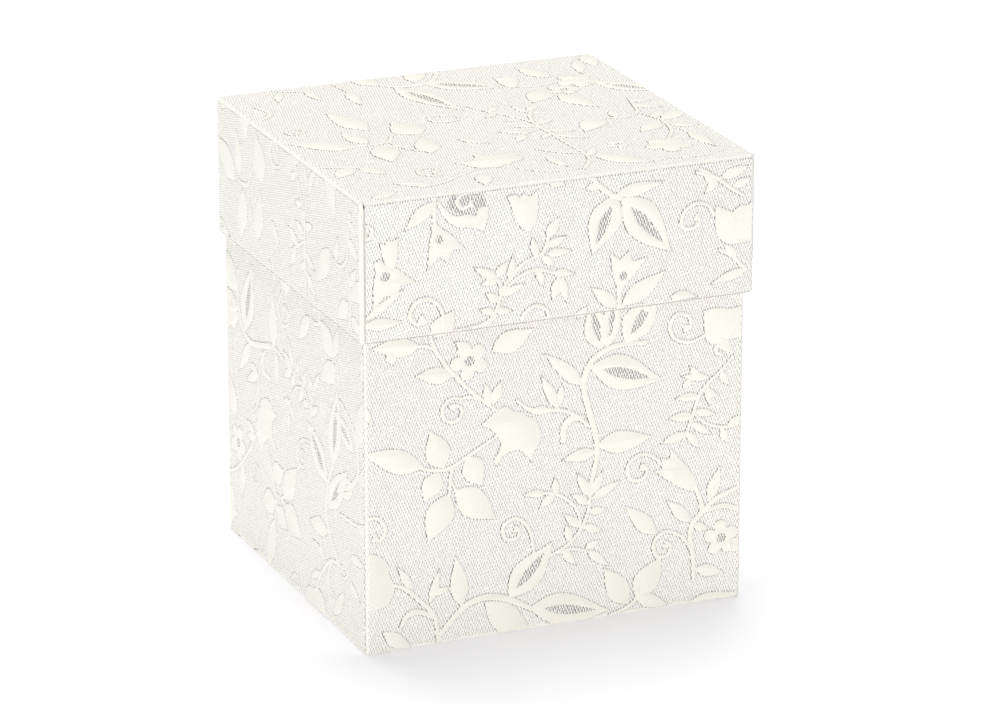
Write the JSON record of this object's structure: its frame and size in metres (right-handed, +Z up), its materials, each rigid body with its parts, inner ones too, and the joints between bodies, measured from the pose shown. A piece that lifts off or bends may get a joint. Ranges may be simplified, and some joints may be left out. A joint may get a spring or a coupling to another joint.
{
  "type": "wedding card box",
  "caption": "Upright folding-card favour box with a lift-off lid over a four-panel base with a self-locking bottom, embossed all over with climbing flowers and leaves.",
  "frame": {"origin": "on the floor, under the middle of the lid's outline", "axes": "+Z up, +X to the right along the front, +Y to the back"},
  "size_m": [0.082, 0.0786, 0.0916],
  "materials": {
    "embossed_card": "cream card with a fine linen weave and smooth raised flowers",
    "card_crease": "the same card pressed smooth where it is creased",
    "card_inside": "plain white reverse of the card",
    "glue_line": "dried carton glue"
  },
  "bodies": {
    "base": {"base_front_panel": "embossed_card", "base_back_panel": "embossed_card", "base_left_panel": "embossed_card", "base_right_panel": "embossed_card", "base_fold_front_left": "card_crease", "base_fold_front_right": "card_crease", "base_fold_back_right": "card_crease", "base_fold_seam": "card_crease", "base_seam_flap": "card_inside", "base_seam_glue": "glue_line", "bottom_flap_front": "card_inside", "bottom_flap_back": "card_inside", "bottom_flap_left": "card_inside", "bottom_flap_right": "card_inside", "bottom_fold_front": "card_crease", "bottom_fold_back": "card_crease", "bottom_fold_left": "card_crease", "bottom_fold_right": "card_crease", "bottom_wing_left": "card_inside", "bottom_wing_right": "card_inside", "bottom_wing_fold_left": "card_crease", "bottom_wing_fold_right": "card_crease", "bottom_glue_left": "glue_line", "bottom_glue_right": "glue_line"},
    "lid": {"lid_top_panel": "embossed_card", "lid_front_wall": "embossed_card", "lid_back_wall": "embossed_card", "lid_left_wall": "embossed_card", "lid_right_wall": "embossed_card", "lid_fold_front": "card_crease", "lid_fold_back": "card_crease", "lid_fold_left": "card_crease", "lid_fold_right": "card_crease", "lid_corner_front_left": "card_crease", "lid_corner_front_right": "card_crease", "lid_corner_back_left": "card_crease", "lid_corner_back_right": "card_crease", "lid_tab_front_left": "card_inside", "lid_tab_front_right": "card_inside", "lid_tab_back_left": "card_inside", "lid_tab_back_right": "card_inside", "lid_glue_front_left": "glue_line", "lid_glue_front_right": "glue_line", "lid_glue_back_left": "glue_line", "lid_glue_back_right": "glue_line"}
  },
  "joints": [
    {"name": "lid_lift", "type": "slide", "parent": "base", "child": "lid", "axis": [0, 0, 1], "range_m": [0, 0.04]}
  ]
}
